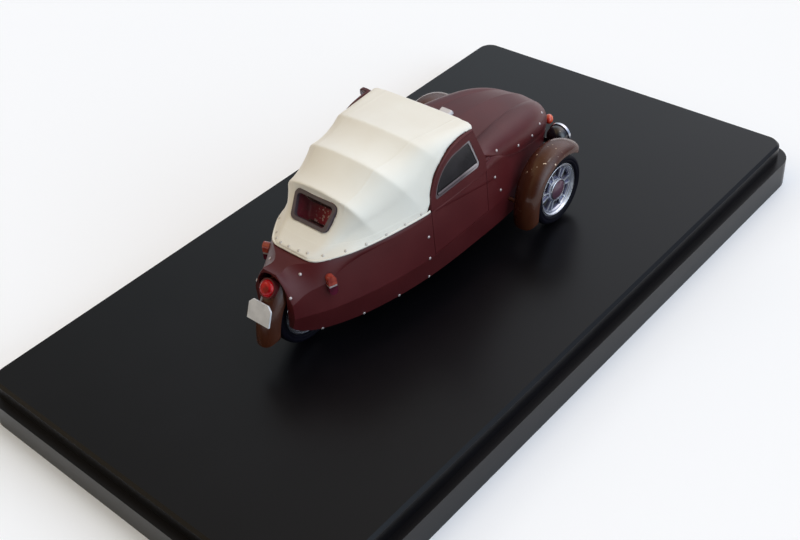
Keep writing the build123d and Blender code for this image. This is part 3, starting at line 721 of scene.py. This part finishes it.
# Bright rings round each front hub cap and along the rims' edges, and how far out they sit
CAP_RING = ring_profile(1.9, 0.16, 0.18)
CAP_RING_STEPS = 48
CAP_RING_OUT = 0.84
EDGE_RING = ring_profile(4.78, 0.12, 0.12)
FRONT_EDGE_OUT = 0.96
REAR_EDGE_OUT = 0.95


def wheel_ring(name, profile, steps, wheel, out):
    middle = middle_of(wheel + "_rim")
    middle.x += out * MM
    finished(lathe(profile, middle, steps), name, BRIGHT, wheel + "_wheel")


for side, name in SIDES:
    wheel = "front_" + name
    wheel_ring(wheel + "_cap_ring", CAP_RING, CAP_RING_STEPS, wheel, side * CAP_RING_OUT)
    wheel_ring(wheel + "_edge_ring", EDGE_RING, TYRE_STEPS, wheel, side * FRONT_EDGE_OUT)
for side, name in SIDES:
    wheel_ring("rear_edge_ring_" + name, EDGE_RING, TYRE_STEPS, "rear", side * REAR_EDGE_OUT)

# Studs that hold the skin and snaps along the roof's hem, right side, in millimetres.
# Each is set on the nearest point of its carrier.
STUD_RADIUS = 0.27
SNAP_RADIUS = 0.25
STUD_FLATNESS = 0.55
HOOD_STUDS = [
    (-10.1, -10.3, 27.4), (-10.1, -16.4, 25.05), (-9.4, -21.3, 24.15), (-8.4, -24.95, 24.3),
    (-6.8, -27.7, 24.6),
]
BODY_STUDS = [
    (-10.86, -10.2, 19.7), (-10.8, -8.7, 23.2), (-11.14, 9.1, 21.9), (-11.2, 9.3, 17.7),
    (-10.1, 8.6, 12.8), (-9.0, 15.1, 12.8), (-7.2, 21.7, 12.8), (-4.55, 28.5, 12.95),
    (-3.2, 30.05, 24.45), (-3.7, 33.1, 22.0),
]
ROOF_SNAPS = [
    (-10.88, 10.15, 27.0), (-10.4, 13.45, 26.85), (-9.65, 17.1, 26.85), (-8.75, 20.7, 26.85),
    (-7.25, 23.8, 26.85), (-5.05, 26.55, 26.7),
]
REAR_SNAPS = [
    (-2.9, 27.7, 26.95), (-1.3, 28.0, 26.9), (0.8, 28.1, 26.9), (2.6, 28.1, 26.85), (4.1, 27.6, 26.7),
]


def both_sides(rows):
    return rows + [(-x, y, z) for x, y, z in rows]


def studs(name, rows, carrier, radius, finish):
    tree = surface_of(carrier)
    bm = bmesh.new()
    for row in rows:
        near, normal = tree.find_nearest(Vector(row) * MM)[:2]
        turn = normal.to_track_quat("Z", "Y").to_matrix().to_4x4()
        flat = Matrix.Diagonal((1, 1, STUD_FLATNESS, 1))
        place = Matrix.Translation(near) @ turn @ flat
        bmesh.ops.create_uvsphere(bm, u_segments=14, v_segments=8, radius=radius * MM, matrix=place)
    finished(bm, name, finish, REST)


studs("hood_studs", both_sides(HOOD_STUDS), "hood", STUD_RADIUS, STUD)
studs("body_studs", both_sides(BODY_STUDS), "body_shell", STUD_RADIUS, STUD)
studs("roof_snaps", both_sides(ROOF_SNAPS) + REAR_SNAPS, "roof", SNAP_RADIUS, SNAP)


# Seat: a crowned cushion and a back with rounded edges, heights and depths in millimetres
SEAT_FOOT = 14.2
CUSHION_TOP = 18.6
CUSHION_CROWN = 0.5
BACK_FRONT = 12.0
BACK_CROWN = 0.3
PAD_CUTS = 11
PAD_WAIST = 0.04


def pad(whole, low, high, crown):
    """Adds one pad to the whole: its corners and the height of its crown in millimetres."""
    middle = (Vector(low) + Vector(high)) / 2
    half = (Vector(high) - Vector(low)) / 2
    bm = bmesh.new()
    bmesh.ops.create_cube(bm, size=2.0)
    bmesh.ops.subdivide_edges(bm, edges=bm.edges, cuts=PAD_CUTS, use_grid_fill=True)
    for point in bm.verts:
        u, v, w = point.co
        swell = crown * (1 - u ** 4) * (1 - v ** 4) * max(w, 0)
        across = u * half.x * (1 - PAD_WAIST * (v * v + w * w))
        along = v * half.y * (1 - PAD_WAIST * (u * u + w * w))
        point.co = (middle + Vector((across, along, w * half.z + swell))) * MM
    mesh = bpy.data.meshes.new("pad")
    bm.to_mesh(mesh)
    bm.free()
    whole.from_mesh(mesh)
    bpy.data.meshes.remove(mesh)


def seat_cushions():
    low, high = [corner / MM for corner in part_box("seat")]
    bm = bmesh.new()
    pad(bm, (low.x, low.y, SEAT_FOOT), (high.x, BACK_FRONT, CUSHION_TOP), CUSHION_CROWN)
    pad(bm, (low.x, BACK_FRONT, SEAT_FOOT), (high.x, high.y, high.z - BACK_CROWN), BACK_CROWN)
    bmesh.ops.recalc_face_normals(bm, faces=bm.faces)
    piece = finished(bm, "seat_pads", LEATHER, REST, ["seat"])
    soften = piece.modifiers.new("soften", "SUBSURF")
    soften.levels = 1
    soften.render_levels = 1


seat_cushions()


# Headlamp glasses bulge a little in front of their rims: share of the radius and rise in millimetres
GLASS_OUTLINE = [(1.0, 0.0), (0.92, 0.12), (0.76, 0.24), (0.54, 0.33), (0.28, 0.38), (0.0, 0.4)]
GLASS_STEPS = 40
GLASS_THICK = 0.5
GLASS_SUNK = 0.05


def lamp_glass(side):
    low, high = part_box("headlamp_lens_" + side)
    middle = (low + high) / 2
    radius = (high.x - low.x) / 2
    bm = bmesh.new()
    points = [bm.verts.new((share * radius, -rise * MM, 0)) for share, rise in GLASS_OUTLINE]
    edges = [bm.edges.new(pair) for pair in zip(points, points[1:])]
    spin_round(bm, points + edges, (0, 1, 0), GLASS_STEPS)
    rim = [edge for edge in bm.edges if edge.is_boundary]
    made = bmesh.ops.extrude_edge_only(bm, edges=rim)
    back = [item for item in made["geom"] if isinstance(item, bmesh.types.BMVert)]
    bmesh.ops.translate(bm, verts=back, vec=(0, GLASS_THICK * MM, 0))
    bmesh.ops.holes_fill(bm, edges=[edge for edge in bm.edges if edge.is_boundary])
    bmesh.ops.recalc_face_normals(bm, faces=bm.faces)
    bmesh.ops.translate(bm, verts=bm.verts, vec=(middle.x, low.y + GLASS_SUNK * MM, middle.z))
    finished(bm, "headlamp_glass_" + side, FLUTED, REST, ["headlamp_lens_" + side])


for side, name in SIDES:
    lamp_glass(name)

# Indicators: a round lens at the end of each stalk, turned to the stalk's slant
BULB_MIDDLE = (4.5, -33.2, 19.62)
BULB_HALF = (0.8, 0.95, 0.9)
BULB_SLANT = 0.59
for side, name in SIDES:
    ball("indicator_bulb_" + name, SIGNAL, side, BULB_MIDDLE, BULB_HALF, BULB_SLANT)

# Side lamps: each part is drawn in round the lamp's middle and lifted a little, in millimetres.
# It keeps this share of its size, and more of its reach out of the body. The band is narrower.
SIDE_LAMP_MIDDLE = (6.5, 27.05, 22.35)
SIDE_LAMP_LIFT = (0, 0.15, 0.35)
SIDE_LAMP_OUT = (0.94, 0.33, 0.03)
SIDE_LAMP_SHARE = 0.8
BAND_SHARE = 0.7
SIDE_LAMP_REACH = 0.2
SHARP_ANGLE = 0.6
SIDE_LAMP_PARTS = [
    ("amber", AMBER, SIDE_LAMP_SHARE),
    ("band", STUD, BAND_SHARE),
    ("red", DARK_RED, SIDE_LAMP_SHARE),
]


def side_lamp(side, name):
    mirrored = Matrix.Diagonal((side, 1, 1))
    middle = mirrored @ Vector(SIDE_LAMP_MIDDLE) * MM
    lift = Vector(SIDE_LAMP_LIFT) * MM
    out = (mirrored @ Vector(SIDE_LAMP_OUT)).normalized()
    across = out.cross(Vector((0, 0, 1))).normalized()
    for part, finish, width in SIDE_LAMP_PARTS:
        node = "side_lamp_%s_%s" % (part, name)
        bm = shape_of(node)
        for point in bm.verts:
            away = point.co - middle
            narrower = (width - SIDE_LAMP_SHARE) * away.dot(across) * across
            further = (width - SIDE_LAMP_SHARE + SIDE_LAMP_REACH) * away.dot(out) * out
            point.co = middle + lift + SIDE_LAMP_SHARE * away + narrower + further
        for edge in bm.edges:
            edge.smooth = not edge.is_manifold or edge.calc_face_angle() < SHARP_ANGLE
        finished(bm, "side_lens_%s_%s" % (part, name), finish, REST, [node])


for side, name in SIDES:
    side_lamp(side, name)

# Corners of the cowl: close the slit between hood, door and pillar
COWL_MIDDLE = (9.75, -7.3, 27.3)
COWL_HALF = (0.85, 1.3, 0.6)
for side, name in SIDES:
    ball("cowl_corner_" + name, MAROON, side, COWL_MIDDLE, COWL_HALF)

# A pane in the mirror's face, in millimetres
MIRROR_PLACE = (12.6, -3.29, 34.4)
MIRROR_SIZE = (1.5, 0.1, 1.1)
MIRROR_CORNER = 0.35


def mirror_pane():
    bm = bmesh.new()
    bmesh.ops.create_cube(bm, size=MM, matrix=Matrix.Diagonal((*MIRROR_SIZE, 1)))
    corners = [edge for edge in bm.edges if edge.verts[0].co.y * edge.verts[1].co.y < 0]
    bmesh.ops.bevel(bm, geom=corners, offset=MIRROR_CORNER * MM, segments=4, profile=0.5,
                    affect="EDGES", material=-1)
    bmesh.ops.translate(bm, verts=bm.verts, vec=Vector(MIRROR_PLACE) * MM)
    finished(bm, "mirror_pane", MIRROR, REST)


mirror_pane()


# Floor: half its side, and how far it lies below the plinth
FLOOR_HALF = 3.0
FLOOR_DROP = 0.02 * MM


def stage():
    bm = bmesh.new()
    bmesh.ops.create_grid(bm, x_segments=1, y_segments=1, size=FLOOR_HALF)
    bmesh.ops.translate(bm, verts=bm.verts, vec=(0, 0, -FLOOR_DROP))
    mesh = bpy.data.meshes.new("floor")
    bm.to_mesh(mesh)
    bm.free()
    floor = bpy.data.objects.new("floor", mesh)
    bpy.context.scene.collection.objects.link(floor)
    # The camera, metal and glass see the paper paler than it lights the model
    paper = Finish("white_paper", (0.98, 0.98, 0.98), 0.9, Specular_IOR_Level=0.0)
    seen = paper.node("ShaderNodeLightPath", {}, [])
    rays = seen.socket.node.outputs
    for kind in ("Is Glossy Ray", "Is Transmission Ray"):
        seen = seen + Link(paper, rays[kind])
    paper.colour(paper.mix(seen, (0.55, 0.55, 0.56), (0.92, 0.955, 1.0)))
    mesh.materials.append(paper.material)


# Studio lamps: soft squares, with their side in metres, power and colour
STUDIO_SIDE = 0.12
STUDIO_WATTS = 0.2
STUDIO_COLOUR = (1.0, 0.97, 0.94)


def lamp(name, place, aim):
    """A studio lamp at a place and aimed at a point, both in metres."""
    data = bpy.data.lights.new(name, "AREA")
    data.shape = "SQUARE"
    data.size = STUDIO_SIDE
    data.energy = STUDIO_WATTS
    data.color = STUDIO_COLOUR
    light = bpy.data.objects.new(name, data)
    bpy.context.scene.collection.objects.link(light)
    light.location = place
    light.rotation_mode = "QUATERNION"
    light.rotation_quaternion = (Vector(aim) - Vector(place)).to_track_quat("-Z", "Y")


# Soft patches of light in the room, warm above and behind the car, cool on its right and in front:
# compass angle from +X towards +Y, height angle, narrowness, strength and colour
SKY_PATCHES = [
    (0, 90, 4, 0.5, (1.0, 0.65, 0.3)),
    (45, 35, 6, 1.0, (1.0, 0.8, 0.5)),
    (180, 10, 8, 2.2, (0.75, 0.88, 1.0)),
    (180, 40, 8, 1.8, (0.7, 0.86, 1.0)),
    (225, 30, 8, 0.3, (0.2, 0.5, 1.0)),
    (245, 60, 10, 1.4, (1.0, 0.95, 0.95)),
    (270, 30, 8, 1.6, (0.92, 0.92, 1.0)),
    (315, 30, 8, 0.75, (0.75, 0.9, 1.0)),
]


def sky():
    """Adds up the patches, each brightest where the view looks straight at its middle."""
    world = bpy.data.worlds.new("room")
    bpy.context.scene.world = world
    world.use_nodes = True
    tree = world.node_tree
    tree.nodes.clear()

    def worked_out(kind, operation, source, value):
        node = tree.nodes.new(kind)
        node.operation = operation
        node.inputs[1].default_value = value
        tree.links.new(source, node.inputs[0])
        return node.outputs["Value"]

    view = tree.nodes.new("ShaderNodeTexCoord").outputs["Generated"]
    total = None
    for compass, height, narrow, strength, colour in SKY_PATCHES:
        turn = math.radians(compass)
        rise = math.radians(height)
        flat = math.cos(rise)
        centre = (flat * math.cos(turn), flat * math.sin(turn), math.sin(rise))
        facing = worked_out("ShaderNodeVectorMath", "DOT_PRODUCT", view, centre)
        lit = worked_out("ShaderNodeMath", "MAXIMUM", facing, 0.0)
        patch = worked_out("ShaderNodeMath", "POWER", lit, narrow)
        level = worked_out("ShaderNodeMath", "MULTIPLY", patch, strength)
        glow = tree.nodes.new("ShaderNodeBackground")
        glow.inputs["Color"].default_value = (*colour, 1)
        tree.links.new(level, glow.inputs["Strength"])
        if total is None:
            total = glow.outputs[0]
            continue
        both = tree.nodes.new("ShaderNodeAddShader")
        tree.links.new(total, both.inputs[0])
        tree.links.new(glow.outputs[0], both.inputs[1])
        total = both.outputs[0]
    out = tree.nodes.new("ShaderNodeOutputWorld")
    tree.links.new(total, out.inputs["Surface"])


stage()
sky()
lamp("lamp_rear", (0.42, 0.35, 0.42), (0, 0.02, 0.03))
lamp("lamp_front", (-0.23, -0.09, 0.62), (-0.014, -0.021, 0.02))
bpy.context.scene.view_settings.view_transform = "Standard"
